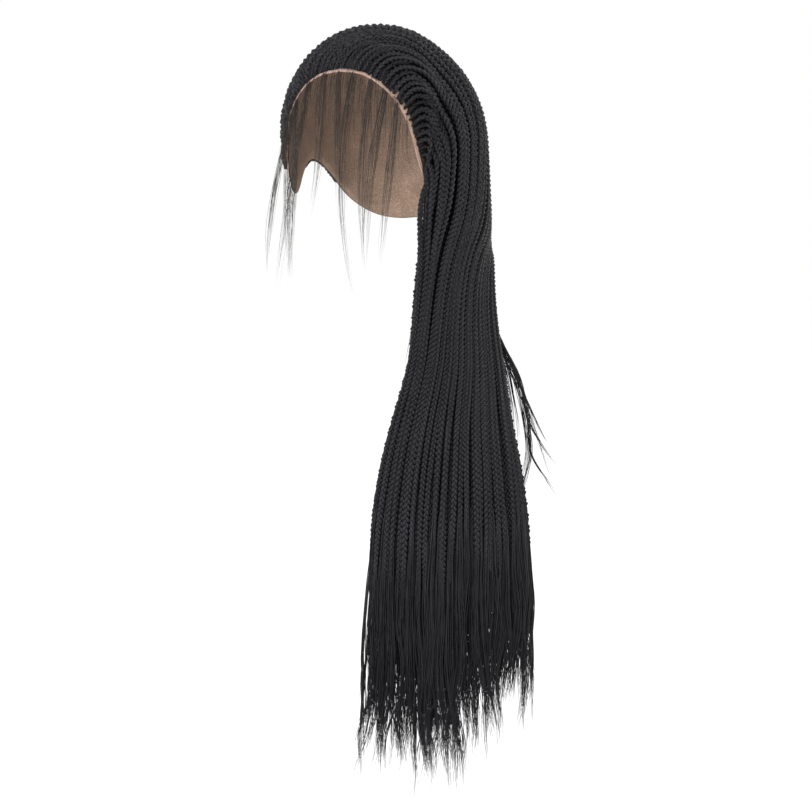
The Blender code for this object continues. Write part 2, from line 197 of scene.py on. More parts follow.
# Stray hairs on the hanging hair. Each row: share, height of the top, length, how far the hair
# stands off to the side, and lift, in millimetres.
STRAYS = [
    (0.00, -206, 80, -2, 17), (0.00, -425, 160, -6, 12), (0.00, -440, 170, -8, 16),
    (0.00, -450, 150, -7, 17), (0.01, -480, 150, -9, 14), (0.00, -500, 140, -10, 12),
    (1.00, -455, 110, -1, 8), (1.00, -470, 105, 2, 12), (0.99, -480, 95, 3, 14),
    (0.97, -480, 90, 0, 16), (0.94, -490, 100, 2, 14), (0.03, -548, 68, -16, 12),
    (0.10, -552, 70, 14, 15), (0.20, -550, 72, -14, 16), (0.31, -556, 70, 15, 16),
    (0.42, -552, 70, -14, 16), (0.50, -546, 72, 14, 16), (0.60, -520, 66, -12, 16),
    (0.72, -500, 66, 12, 16),
]

# Camera of the photograph.
CAMERA_TURN = 25.0
CAMERA_RISE = 5.0
CAMERA_DISTANCE = 1.8
CAMERA_LENS = 90.66
CAMERA_SENSOR = 36.0
CAMERA_AIM = (0.02130, 0.00993, -0.3155)

# Floor and lamps: name, place, size and watts of each lamp.
FLOOR_REACH = 12.0
FLOOR_HEIGHT = -0.70
LAMPS = [
    ("key", (0.3, -2.5, 0.6), 0.9, 40), ("fill", (-1.4, -1.8, -0.3), 1.5, 14),
    ("back", (1.2, 1.8, 1.4), 1.4, 14),
]
LAMP_AIM = (0.05, -0.03, -0.3)

dice = np.random.default_rng(11)


# Numbers and directions

def column(table, columns, name):
    return np.array([row[columns.index(name)] for row in table], float)


def smooth(x, xs, ys):
    """Smooth curve through the rows of a table."""
    x = min(max(float(x), xs[0]), xs[-1])
    i = int(np.clip(np.searchsorted(xs, x) - 1, 0, len(xs) - 2))
    slope = np.gradient(ys, xs, axis=0)
    step = xs[i + 1] - xs[i]
    t = (x - xs[i]) / step
    return ((2 * t**3 - 3 * t**2 + 1) * ys[i] + (t**3 - 2 * t**2 + t) * step * slope[i]
            + (3 * t**2 - 2 * t**3) * ys[i + 1] + (t**3 - t**2) * step * slope[i + 1])


def ease(x, low, high):
    t = np.clip((x - low) / (high - low), 0, 1)
    return t * t * (3 - 2 * t)


def unit(v):
    return v / np.maximum(np.linalg.norm(v, axis=-1, keepdims=True), 1e-12)


def run_length(points):
    """Length along a line up to each of its points."""
    return np.concatenate([[0], np.cumsum(np.linalg.norm(np.diff(points, axis=0), axis=1))])


def direction(bearing, dip):
    b, d = np.radians(bearing), np.radians(dip)
    return np.array([np.sin(b) * np.sin(d), -np.cos(b) * np.sin(d), np.cos(d)])


def on_head(v, lift=0.0):
    """Point over the head form in the direction v, lifted off it."""
    v = v / (np.abs(v)**HEAD_SQUARENESS).sum()**(1 / HEAD_SQUARENESS)
    up = HEAD_CROWN if v[2] >= 0 else HEAD_LOWER
    return np.array([v[0] * (HEAD_HALF_WIDTH + lift), v[1] * (HEAD_HALF_DEPTH + lift),
                     v[2] * (up + lift) - HEAD_CROWN])


def around(name):
    half = column(EDGE, EDGE_COLUMNS, name)
    sign = -1 if name == "bearing" else 1
    return np.concatenate([sign * half[:0:-1], half])


BEARINGS, DIPS = around("bearing"), around("dip")
EDGE_POINTS = np.array([on_head(direction(b, d)) for b, d in zip(BEARINGS, DIPS)])
EDGE_LENGTH = run_length(EDGE_POINTS)
EDGE_LENGTH -= EDGE_LENGTH[len(EDGE) - 1]

SHARES = column(FLOW, FLOW_COLUMNS, "share")
ROOTS = column(FLOW, FLOW_COLUMNS, "root_mm") * MM


def flow_directions(name):
    bearings = column(FLOW, FLOW_COLUMNS, name + "_bearing")
    dips = column(FLOW, FLOW_COLUMNS, name + "_dip")
    return np.array([direction(b, d) for b, d in zip(bearings, dips)])


RISING, FALLING, LEAVING = (flow_directions(n) for n in ("rise", "fall", "exit"))
HEIGHTS = -column(HANG, HANG_COLUMNS, "height")
HANG_ROWS = np.array([row[1:] for row in HANG], float) * MM
HAIR_STATIONS = column(HAIR, HAIR_COLUMNS, "station")
HAIR_HEIGHTS = column(HAIR, HAIR_COLUMNS, "height_mm") * MM


def head_point(share, station, lift, inset=3.0 * MM):
    along = smooth(share, SHARES, ROOTS)
    bearing = np.interp(along, EDGE_LENGTH, BEARINGS)
    dip = np.interp(along, EDGE_LENGTH, DIPS)
    root = direction(bearing, min(dip, TAB_ROOT_DIP) if abs(bearing) < TAB_REAR else dip)
    rise, fall, leave = (unit(smooth(share, SHARES, rows))
                         for rows in (RISING, FALLING, LEAVING))
    reach = np.linalg.norm(on_head(rise) - on_head(root))
    t = station + (1 - station) * min(0.3, inset / (3 * reach))
    v = unit((1 - t)**3 * root + 3 * (1 - t)**2 * t * rise + 3 * (1 - t) * t * t * fall
             + t**3 * leave)
    fall_out = FALL_OUT * max(-v[2], 0) * ease(share, 0.2, 0.6) * ease(station, 0.5, 0.9)
    return on_head(v, lift + fall_out)


def hang_point(share, height_mm, lift):
    fx, fy, rx, ry, bulge = smooth(-height_mm, HEIGHTS, HANG_ROWS)
    across = np.array([rx - fx, ry - fy])
    out = unit(np.array([across[1], -across[0]]))
    share = share + (1 - share) * FRONT_INSET / np.linalg.norm(across)
    arch = bulge * 4 * share * (1 - share)
    xy = np.array([fx, fy]) + across * share + out * (arch + lift)
    return np.array([xy[0], xy[1], height_mm * MM])


def across_hang(share, height_mm, lift):
    """Direction from the front edge of the hanging hair to its rear edge."""
    behind, before = min(share + 0.01, 1), max(share - 0.01, 0)
    return unit(hang_point(behind, height_mm, lift) - hang_point(before, height_mm, lift))


def join_point(share, part, lift):
    a, a_before = head_point(share, 1.0, lift), head_point(share, 0.9, lift)
    b, b_after = hang_point(share, -HEIGHTS[0], lift), hang_point(share, -HEIGHTS[1], lift)
    reach = np.linalg.norm(b - a)
    start, end = unit(a - a_before) * reach, unit(b_after - b) * reach
    t = part
    return ((2 * t**3 - 3 * t**2 + 1) * a + (t**3 - 2 * t**2 + t) * start
            + (3 * t**2 - 2 * t**3) * b + (t**3 - t**2) * end)


class Wander:
    """Slow drift along a braid, the same each run."""

    def __init__(self, size):
        self.size = size
        self.turns = dice.uniform(0.8, 2.6, 3)
        self.phases = dice.uniform(0, 2 * math.pi, 3)

    def at(self, t):
        waves = np.sin(self.turns * t * 2 * math.pi + self.phases)
        return self.size * float(waves @ np.array([0.5, 0.3, 0.2]))


def stations(first, last_mm):
    """Stops along a braid: over the head, through the turn at the neck, and down."""
    stops = [("head", t) for t in np.linspace(first, 1, max(6, int(26 * (1 - first))))]
    stops += [("join", t) for t in np.linspace(0, 1, 7)[1:-1]]
    stops += [("hang", z) for z in np.arange(-HEIGHTS[0], last_mm, -HEIGHT_STEP)]
    return stops + [("hang", last_mm)]


def place(share, stop, lift):
    kind, at = stop
    return {"head": head_point, "join": join_point, "hang": hang_point}[kind](share, at, lift)


def level_order():
    """Depth of each braid: the steady order, with some neighbours changed over."""
    order = [LEVELS[i % 3] for i in range(EDGE_BRAIDS)]
    for i in dice.permutation(EDGE_BRAIDS - 1)[:EDGE_BRAIDS // 4]:
        order[i], order[i + 1] = order[i + 1], order[i]
    return order


def inside(share):
    """0 at the front and the rear edge of the hair, 1 from the rim inwards."""
    return ease(min(share, 1 - share), 0.0, RIM)


def piled(share):
    return RIM_PILE + (1 - RIM_PILE) * inside(share)


def spacing_at(share, stop):
    low, high = max(share - 0.01, 0), min(share + 0.01, 1)
    step = place(high, stop, 8 * MM) - place(low, stop, 8 * MM)
    return np.linalg.norm(step) / (high - low) / EDGE_BRAIDS


def turns_down(stop):
    kind, at = stop
    return {"head": at > TURN_STATION, "join": True, "hang": at > TURN_HEIGHT}[kind]


def even_out(points, stops):
    """Relax the turn between the head and the hanging hair."""
    free = [k for k, stop in enumerate(stops) if turns_down(stop)]
    for _ in range(TURN_PASSES):
        middle = (points[:-2] + points[2:]) / 2
        for k in free:
            if 0 < k < len(points) - 1:
                points[k] += 0.5 * (middle[k - 1] - points[k])
    return points


def hair_height(share, stop):
    """How high the outside of the hair stands at a stop."""
    kind, at = stop
    station = at if kind == "head" else 1.0
    over_head = np.interp(station, HAIR_STATIONS, HAIR_HEIGHTS)
    over_head -= FRONT_DROP * (1 - ease(share, 0.0, 0.10)) * ease(station, 0.35, 0.7)
    if kind == "head":
        return over_head
    if kind == "hang":
        return HANG_HEIGHT
    fuller = NECK_FULLNESS * ease(share, 0.35, 0.75) * math.sin(math.pi * at)
    return over_head + (HANG_HEIGHT - over_head) * ease(at, 0, 1) + fuller


def braid_guide(share, first, level, plait_end):
    """Centre line of one braid with its width and the way out of the hair at each stop."""
    stops = stations(first, plait_end)
    drift, swell, roll = (Wander(size) for size in (
        WANDER_ASIDE / EDGE_BRAIDS, WANDER_HEIGHT, WANDER_ROLL))
    size = BRAID_WIDTH * dice.uniform(*WIDTH_SPREAD)
    sunk = 3.0 if level is None else 2.0 - level
    on_edge = level is not None
    points, outs = [], []
    for k, stop in enumerate(stops):
        t = k / (len(stops) - 1)
        spacing = spacing_at(share, stop)
        pile = math.sqrt(max(BRAID_SPREAD**2 - spacing**2, 0)) * BRAID_STACK / BRAID_SPREAD
        settled = ease(t, 0.05, 0.35)
        lift = hair_height(share, stop) - BRAID_WIDTH / 2 - sunk * pile * piled(share)
        lift = max(lift + min(swell.at(t), 0.6 * MM) * settled, REST_LIFT)
        s = share + drift.at(t) * settled * min(1.0, 2.6 * MM / spacing)
        if k == 0:
            lift = FIRST_LIFT
        elif k == 1 and on_edge:
            lift = min(lift, SECOND_LIFT)
        s = min(max(s, 0.0), 1.0)
        here = place(s, stop, lift)
        points.append(here)
        outs.append(unit(place(s, stop, lift + MM) - here))
    points = even_out(np.array(points), stops)
    length = run_length(points)
    temple = (1 - ease(share, 0.10, 0.30)) * dice.uniform(0.5, 1.15) if on_edge else 0.0
    root_width, root_length = 0.72 - 0.36 * temple, (7 + 6 * temple) * MM
    width = size * (root_width + (1 - root_width) * ease(length, 0, root_length))
    width = width * (1 + 0.28 * ease(share, 0.30, 0.5) * (1 - ease(length, 90 * MM, 200 * MM)))
    loosening = ease(length, length[-1] - LOOSEN_LENGTH, length[-1])
    rolled = dice.uniform(-0.9, 0.9) + np.array(
        [roll.at(x) for x in np.linspace(0, 1, len(points))])
    made = guide(points, np.array(outs), width * (1 - 0.3 * loosening), rolled)
    made["bind"] = 1 - 0.6 * loosening
    pitch = PLAIT_PITCH * np.maximum(width, 0.75 * size) / BRAID_WIDTH
    turns = np.concatenate([[0], np.cumsum(np.diff(length) / (pitch[1:] + pitch[:-1]) * 2)])
    made["turn"] += turns * 2 * math.pi
    return made


def guide(points, outs, width, rolled=0.0):
    """Line with its width and two directions across it, rolled about it by an angle."""
    ahead = unit(np.gradient(points, axis=0))
    side = unit(np.cross(ahead, outs))
    out = unit(np.cross(side, ahead))
    turn = np.broadcast_to(rolled, len(points))[:, None]
    return {"points": points, "side": side * np.cos(turn) + out * np.sin(turn),
            "out": out * np.cos(turn) - side * np.sin(turn),
            "width": np.broadcast_to(width, len(points)).astype(float),
            "turn": np.full(len(points), dice.uniform(0, 2 * math.pi)),
            "tint": np.full(len(points), dice.uniform(0, 1)),
            "bind": np.ones(len(points))}


# Building meshes

def link(made):
    bpy.context.scene.collection.objects.link(made)
    return made


def guide_mesh(name, guides):
    """One mesh of open lines that carries the guides' widths and directions."""
    points = np.concatenate([g["points"] for g in guides])
    edges, start = [], 0
    for g in guides:
        n = len(g["points"])
        edges += [(start + i, start + i + 1) for i in range(n - 1)]
        start += n
    mesh = bpy.data.meshes.new(name)
    mesh.from_pydata(points.tolist(), edges, [])
    for key, kind in (("side", "FLOAT_VECTOR"), ("out", "FLOAT_VECTOR"), ("width", "FLOAT"),
                      ("turn", "FLOAT"), ("tint", "FLOAT"), ("bind", "FLOAT")):
        values = np.concatenate([g[key] for g in guides]).astype(np.float32)
        mesh.attributes.new(key, kind, "POINT").data.foreach_set(
            "vector" if kind == "FLOAT_VECTOR" else "value", values.ravel())
    return link(bpy.data.objects.new(name, mesh))


class Tree:
    """Short hand for building a node tree."""

    def __init__(self, name, kind):
        self.tree = bpy.data.node_groups.new(name, kind)
        self.enter = self.tree.nodes.new("NodeGroupInput")
        self.leave = self.tree.nodes.new("NodeGroupOutput")

    def takes(self, name, kind, value=None):
        socket = self.tree.interface.new_socket(name, in_out="INPUT", socket_type=kind)
        if value is not None:
            socket.default_value = value
        return self.enter.outputs[name]

    def gives(self, name, kind, source):
        self.tree.interface.new_socket(name, in_out="OUTPUT", socket_type=kind)
        self.tree.links.new(source, self.leave.inputs[name])

    def add(self, kind, inputs=None, **settings):
        made = self.tree.nodes.new(kind)
        for key, value in settings.items():
            setattr(made, key, value)
        for key, value in (inputs or {}).items():
            socket = made.inputs[key]
            if isinstance(value, bpy.types.NodeSocket):
                self.tree.links.new(value, socket)
            else:
                socket.default_value = value
        return made

    def math(self, operation, a, b=0.0, c=0.0):
        made = self.add("ShaderNodeMath", {0: a, 1: b}, operation=operation)
        if operation == "MULTIPLY_ADD":
            if isinstance(c, bpy.types.NodeSocket):
                self.tree.links.new(c, made.inputs[2])
            else:
                made.inputs[2].default_value = c
        return made.outputs[0]

    def scaled(self, vector, factor):
        made = self.add("ShaderNodeVectorMath", {0: vector, "Scale": factor}, operation="SCALE")
        return made.outputs[0]

    def plus(self, a, b):
        return self.add("ShaderNodeVectorMath", {0: a, 1: b}, operation="ADD").outputs[0]

    def named(self, name, kind="FLOAT"):
        return self.add("GeometryNodeInputNamedAttribute", {"Name": name},
                        data_type=kind).outputs[0]

    def store(self, geometry, name, value, kind="FLOAT", domain="POINT"):
        return self.add("GeometryNodeStoreNamedAttribute",
                        {"Geometry": geometry, "Name": name, "Value": value},
                        data_type=kind, domain=domain).outputs[0]


def skin(t, curve, sides, scale, caps, material):
    """Tube over a curve, with marks for its length and its way round."""
    spline = t.add("GeometryNodeSplineParameter")
    curve = t.store(curve, "along", spline.outputs["Length"])
    curve = t.store(curve, "reach", spline.outputs["Factor"])
    ring = t.add("GeometryNodeCurvePrimitiveCircle", {"Resolution": sides, "Radius": 1.0},
                 mode="RADIUS").outputs[0]
    ring = t.store(ring, "round", t.add("GeometryNodeInputPosition").outputs[0], "FLOAT_VECTOR")
    tube = t.add("GeometryNodeCurveToMesh",
                 {"Curve": curve, "Profile Curve": ring, "Scale": scale, "Fill Caps": caps})
    smooth_tube = t.add("GeometryNodeSetShadeSmooth", {0: tube.outputs[0]})
    real = t.add("GeometryNodeRealizeInstances", {0: smooth_tube.outputs[0]})
    return t.add("GeometryNodeSetMaterial",
                 {0: real.outputs[0], "Material": material}).outputs[0]


def plait_tree():
    """Three strands that pass over and under each other along each guide."""
    t = Tree("plait", "GeometryNodeTree")
    guides = t.takes("Guides", "NodeSocketGeometry")
    step = t.takes("Step", "NodeSocketFloat", 2.0 * MM)
    sides = t.takes("Sides", "NodeSocketInt", 5)
    fullness = t.takes("Fullness", "NodeSocketFloat", 0.25)
    material = t.takes("Material", "NodeSocketMaterial")
    line = t.add("GeometryNodeMeshToCurve", {0: guides}).outputs[0]
    line = t.add("GeometryNodeResampleCurve", {"Curve": line, "Length": step},
                 mode="LENGTH").outputs[0]
    thrice = t.add("GeometryNodeDuplicateElements", {"Geometry": line, "Amount": 3},
                   domain="SPLINE")
    strands = t.store(thrice.outputs[0], "strand", thrice.outputs[1])
    third = t.math("MULTIPLY", t.named("strand"), 2 * math.pi / 3)
    phase = t.math("ADD", third, t.named("turn"))
    width = t.named("width")
    reach = t.math("MULTIPLY", width, t.named("bind"))
    sway = t.math("MULTIPLY", t.math("SINE", phase), t.math("MULTIPLY", reach, PLAIT_SWAY))
    over = t.math("SINE", t.math("MULTIPLY", phase, 2.0))
    # The over mark keeps how far each strand lies on top; the hair finish reads it to paint shade
    # where a strand passes under the others.
    strands = t.store(strands, "over", t.math("MULTIPLY_ADD", over, 0.5, 0.5))
    dive = t.math("MULTIPLY", over, t.math("MULTIPLY", reach, PLAIT_DIVE))
    shift = t.plus(t.scaled(t.named("side", "FLOAT_VECTOR"), sway),
                   t.scaled(t.named("out", "FLOAT_VECTOR"), dive))
    moved = t.add("GeometryNodeSetPosition", {"Geometry": strands, "Offset": shift}).outputs[0]
    thick = t.math("MULTIPLY", width, fullness)
    t.gives("Plaits", "NodeSocketGeometry", skin(t, moved, sides, thick, True, material))
    return t.tree


def tuft_tree():
    """Many fine hairs that follow each guide within its width."""
    t = Tree("tuft", "GeometryNodeTree")
    guides = t.takes("Guides", "NodeSocketGeometry")
    hairs = t.takes("Hairs", "NodeSocketInt", 12)
    stops = t.takes("Stops", "NodeSocketInt", 12)
    thick = t.takes("Thickness", "NodeSocketFloat", 0.5 * MM)
    wave = t.takes("Wave", "NodeSocketFloat", 1.5 * MM)
    curl = t.takes("Curl", "NodeSocketFloat", 25.0)
    uneven = t.takes("Uneven", "NodeSocketFloat", 0.25)
    seed = t.takes("Seed", "NodeSocketInt", 3)
    material = t.takes("Material", "NodeSocketMaterial")
    line = t.add("GeometryNodeMeshToCurve", {0: guides}).outputs[0]
    many = t.add("GeometryNodeDuplicateElements", {"Geometry": line, "Amount": hairs},
                 domain="SPLINE").outputs[0]
    draw = t.add("FunctionNodeRandomValue", {0: (-1, -1, -1), 1: (1, 1, 1), "Seed": seed},
                 data_type="FLOAT_VECTOR").outputs[0]
    many = t.store(many, "draw", draw, "FLOAT_VECTOR", "CURVE")
    parts = t.add("ShaderNodeSeparateXYZ", {0: t.named("draw", "FLOAT_VECTOR")})
    lot_side, lot_out, lot_length = parts.outputs
    short = t.math("MULTIPLY", t.math("ABSOLUTE", lot_length), uneven)
    cut = t.add("GeometryNodeTrimCurve", {"Curve": many}, mode="FACTOR")
    t.tree.links.new(t.math("SUBTRACT", 1.0, short), cut.inputs["End"])
    line = t.add("GeometryNodeResampleCurve", {"Curve": cut.outputs[0], "Count": stops},
                 mode="COUNT").outputs[0]
    spline = t.add("GeometryNodeSplineParameter")
    width = t.named("width")
    along = t.math("MULTIPLY", spline.outputs["Length"], curl)
    run = t.add("ShaderNodeCombineXYZ", {2: along}).outputs[0]
    own = t.scaled(t.named("draw", "FLOAT_VECTOR"), 37.0)
    drift = t.add("ShaderNodeTexNoise",
                  {"Vector": t.plus(own, run), "Scale": 1.0, "Detail": 1.0})
    away = t.add("ShaderNodeVectorMath", {0: drift.outputs["Color"], 1: (-0.5, -0.5, -0.5)},
                 operation="ADD").outputs[0]
    bend = t.scaled(away, t.math("MULTIPLY", t.math("MULTIPLY", wave, 2.0),
                                 t.math("POWER", spline.outputs["Factor"], 0.7)))
    beside = t.scaled(t.named("side", "FLOAT_VECTOR"), t.math("MULTIPLY", lot_side, width))
    above = t.scaled(t.named("out", "FLOAT_VECTOR"), t.math("MULTIPLY", lot_out, width))
    shift = t.plus(t.plus(beside, above), bend)
    moved = t.add("GeometryNodeSetPosition", {"Geometry": line, "Offset": shift}).outputs[0]
    reach = t.add("GeometryNodeSplineParameter").outputs["Factor"]
    tip = t.math("SUBTRACT", 1.0, t.math("POWER", reach, 3.0))
    body = t.math("MULTIPLY", thick, t.math("MULTIPLY_ADD", tip, 0.46, 0.04))
    t.gives("Hairs", "NodeSocketGeometry", skin(t, moved, 3, body, True, material))
    return t.tree


def grow(name, guides, tree, material, **sizes):
    """Piece that a tree grows from guides, as a plain mesh."""
    seedling = guide_mesh(name + "_guides", guides)
    modifier = seedling.modifiers.new("grow", "NODES")
    modifier.node_group = tree
    sizes["Material"] = material
    for item in tree.interface.items_tree:
        if item.in_out == "INPUT" and item.name in sizes:
            modifier[item.identifier] = sizes[item.name]
    seen = bpy.context.evaluated_depsgraph_get()
    seen.update()
    mesh = bpy.data.meshes.new_from_object(seedling.evaluated_get(seen))
    mesh.name = name
    old = seedling.data
    bpy.data.objects.remove(seedling)
    bpy.data.meshes.remove(old)
    for spare in ("side", "out", "width", "turn", "strand", "bind"):
        if spare in mesh.attributes:
            mesh.attributes.remove(mesh.attributes[spare])
    return link(bpy.data.objects.new(name, mesh))


def join(name, parts):
    """One object of several, materials kept."""
    with bpy.context.temp_override(active_object=parts[0], object=parts[0],
                                   selected_objects=parts, selected_editable_objects=parts):
        bpy.ops.object.join()
    parts[0].name = name
    parts[0].data.name = name
    return parts[0]


# Materials

def finish_tree(name):
    made = bpy.data.materials.new(name)
    made.use_nodes = True
    return made, made.node_tree.nodes["Principled BSDF"]


def into(material, group, shader_sockets, **inputs):
    """Put a group into a material and lead its outputs to the shader's sockets."""
    nodes = material.node_tree.nodes
    made = nodes.new("ShaderNodeGroup")
    made.node_tree = group
    for key, value in inputs.items():
        made.inputs[key.replace("_", " ")].default_value = value
    shader = nodes["Principled BSDF"]
    for output, socket in shader_sockets.items():
        material.node_tree.links.new(made.outputs[output], shader.inputs[socket])


def fibre_group():
    """Fine streaks along each strand, in colour, gloss and relief, with painted shade where a
    strand passes under the others.
    """
    t = Tree("fibre_streaks", "ShaderNodeTree")
    deep = t.takes("Deep Colour", "NodeSocketColor", (0.006, 0.006, 0.007, 1))
    light = t.takes("Light Colour", "NodeSocketColor", (0.03, 0.03, 0.034, 1))
    fine = t.takes("Fineness", "NodeSocketFloat", 7.0)
    rough = t.takes("Roughness Base", "NodeSocketFloat", 0.42)
    relief = t.takes("Relief", "NodeSocketFloat", 0.5)
    # Shade Under: how much shade is painted into the colour where a strand passes under the
    # others.
    shade_under = t.takes("Shade Under", "NodeSocketFloat", 0.0)
    ring = t.add("ShaderNodeAttribute", attribute_name="round").outputs["Vector"]
    along = t.add("ShaderNodeAttribute", attribute_name="along").outputs["Fac"]
    lot = t.add("ShaderNodeAttribute", attribute_name="draw").outputs["Vector"]
    run = t.add("ShaderNodeCombineXYZ", {2: t.math("MULTIPLY", along, 55.0)}).outputs[0]
    spot = t.plus(t.plus(t.scaled(ring, fine), run), t.scaled(lot, 11.0))
    streak = t.add("ShaderNodeTexNoise", {"Vector": spot, "Scale": 1.0, "Detail": 3.0,
                                          "Roughness": 0.6}).outputs["Fac"]
    place_noise = t.add("ShaderNodeTexNoise", {
        "Vector": t.add("ShaderNodeTexCoord").outputs["Object"], "Scale": 38.0, "Detail": 2.0})
    own = t.add("ShaderNodeAttribute", attribute_name="tint").outputs["Fac"]
    tone = t.math("MULTIPLY_ADD", streak, 1.9, -0.5)
    patchy = t.math("MULTIPLY_ADD", place_noise.outputs["Fac"], 0.9, 0.35)
    tone = t.math("MULTIPLY", tone, patchy)
    tone = t.math("MULTIPLY", tone, t.math("MULTIPLY_ADD", own, 0.7, 0.6))
    # Painted shade: the colour darkens where the over mark is low, that is where a strand dives
    # under the others, standing in for the shade in the plait's crossings.
    over = t.add("ShaderNodeAttribute", attribute_name="over").outputs["Fac"]
    under = t.math("SUBTRACT", over, 1.0)
    tone = t.math("MULTIPLY", tone, t.math("MULTIPLY_ADD", under, shade_under, 1.0))
    clamp = t.add("ShaderNodeClamp", {0: tone}).outputs[0]
    colour = t.add("ShaderNodeMix", {0: clamp, 6: deep, 7: light}, data_type="RGBA").outputs[2]
    bump = t.add("ShaderNodeBump", {"Height": streak, "Strength": relief,
                                    "Distance": 0.35 * MM}).outputs[0]
    t.gives("Colour", "NodeSocketColor", colour)
    t.gives("Roughness", "NodeSocketFloat", t.math("MULTIPLY_ADD", streak, 0.25, rough))
    t.gives("Normal", "NodeSocketVector", bump)
    return t.tree


def net_group():
    """Knotted net: fine holes with threads between them."""
    t = Tree("net_holes", "ShaderNodeTree")
    thread = t.takes("Thread Colour", "NodeSocketColor", (0.4, 0.28, 0.2, 1))
    hole = t.takes("Hole Colour", "NodeSocketColor", (0.1, 0.07, 0.05, 1))
    mesh_count = t.takes("Holes Per Metre", "NodeSocketFloat", 620.0)
    spot = t.add("ShaderNodeTexCoord").outputs["Object"]
    cells = t.add("ShaderNodeTexVoronoi",
                  {"Vector": spot, "Scale": mesh_count, "Randomness": 0.9},
                  feature="DISTANCE_TO_EDGE").outputs["Distance"]
    gap = t.add("ShaderNodeMapRange", {"Value": cells, "From Min": 0.04, "From Max": 0.22,
                                       "To Min": 0.0, "To Max": 1.0}).outputs[0]
    wear = t.add("ShaderNodeTexNoise",
                 {"Vector": spot, "Scale": 60.0, "Detail": 3.0}).outputs["Fac"]
    dim = t.math("MULTIPLY_ADD", wear, 0.7, 0.6)
    tint = t.add("ShaderNodeMix", {0: gap, 6: thread, 7: hole}, data_type="RGBA").outputs[2]
    shade = t.add("ShaderNodeMix", {0: 1.0, 6: tint, 7: t.add(
        "ShaderNodeCombineColor", {0: dim, 1: dim, 2: dim}).outputs[0]},
        data_type="RGBA", blend_type="MULTIPLY").outputs[2]
    t.gives("Colour", "NodeSocketColor", shade)
    t.gives("Normal", "NodeSocketVector", t.add("ShaderNodeBump", {
        "Height": gap, "Strength": 0.6, "Distance": 0.25 * MM}, invert=True).outputs[0])
    return t.tree


FIBRE, NET = fibre_group(), net_group()
STRAND_SOCKETS = {"Colour": "Base Color", "Roughness": "Roughness", "Normal": "Normal"}
NET_SOCKETS = {"Colour": "Base Color", "Normal": "Normal"}


# shade_under sets how much shade is painted onto strands where they pass under others; 0 paints
# none.
def hair_finish(name, deep, light, fine, rough, relief, shade_under=0.0):
    made, shader = finish_tree(name)
    into(made, FIBRE, STRAND_SOCKETS, Deep_Colour=(*deep, 1), Light_Colour=(*light, 1),
         Fineness=fine, Roughness_Base=rough, Relief=relief, Shade_Under=shade_under)
    shader.inputs["Specular IOR Level"].default_value = 0.24
    return made


def net_finish(name, thread, hole, count):
    made, shader = finish_tree(name)
    into(made, NET, NET_SOCKETS, Thread_Colour=(*thread, 1), Hole_Colour=(*hole, 1),
         Holes_Per_Metre=count)
    shader.inputs["Roughness"].default_value = 0.85
    shader.inputs["Specular IOR Level"].default_value = 0.2
    return made


# The plaits get strong painted shade where their strands pass under one another; the loose and
# short hair get none.
plait_black = hair_finish("plait_black", (0.002, 0.002, 0.003), (0.024, 0.023, 0.029),
                          fine=6.0, rough=0.34, relief=0.6, shade_under=0.85)
loose_black = hair_finish("loose_black", (0.004, 0.004, 0.005), (0.028, 0.027, 0.032),
                          fine=3.0, rough=0.34, relief=0.3)
short_soft = hair_finish("short_soft", (0.020, 0.016, 0.014), (0.090, 0.074, 0.064),
                         fine=3.0, rough=0.45, relief=0.2)
cap_brown = net_finish("cap_net", (0.055, 0.042, 0.035), (0.020, 0.015, 0.013), 900.0)
cap_inside = net_finish("cap_inside", (0.46, 0.33, 0.25), (0.20, 0.14, 0.105), 900.0)
lace_tan = net_finish("lace_net", (0.62, 0.43, 0.32), (0.36, 0.24, 0.17), 1100.0)
edge_pink = net_finish("lace_edge", (0.52, 0.36, 0.30), (0.43, 0.29, 0.24), 1400.0)


# Cap, lace and hairline

def skin_patch(name, spots, close_round, pole, wall, lift, material):
    """Wall over the head from rows of (bearing, dip), thickened inwards."""
    count = len(spots[0])
    flat = [spot for row in spots for spot in row]
    span = count if close_round else count - 1
    faces = []
    for i in range(len(spots) - 1):
        for j in range(span):
            a, b = i * count + j, i * count + (j + 1) % count
            faces.append((a, a + count, b + count, b))
    if pole:
        flat.append((0.0, 0.0))
        faces += [(len(flat) - 1, j, (j + 1) % count) for j in range(count)]
    mesh = bpy.data.meshes.new(name)
    points = [tuple(map(float, on_head(direction(b, d), lift))) for b, d in flat]
    mesh.from_pydata(points, [], faces)
    mesh.update()
    mesh.shade_smooth()
    mesh.materials.append(material)
    made = link(bpy.data.objects.new(name, mesh))
    shell = made.modifiers.new("wall", "SOLIDIFY")
    shell.thickness, shell.offset, shell.use_even_offset = wall, -1.0, True
    return made


def edge_at(bearing, name="dip"):
    half = column(EDGE, EDGE_COLUMNS, "bearing")
    values = column(EDGE, EDGE_COLUMNS, name)
    between = smooth if name == "dip" else np.interp
    return float(between(abs(bearing), half, values))


def cap_piece():
    bearings = np.linspace(-180, 180, 121)[:-1]
    spots = []
    for depth in np.linspace(CAP_POLE, 1, 26):
        row = []
        for b in bearings:
            lace = edge_at(b, "lace")
            row.append((b, (edge_at(b) - lace - (LACE_SEAM if lace > 0 else 0)) * depth))
        spots.append(row)
    made = skin_patch("cap_net_shell", spots, True, True, CAP_WALL, -0.1 * MM, cap_brown)
    made.data.materials.append(cap_inside)
    made.modifiers["wall"].material_offset = 1
    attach(made, BODY)
    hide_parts("cap")


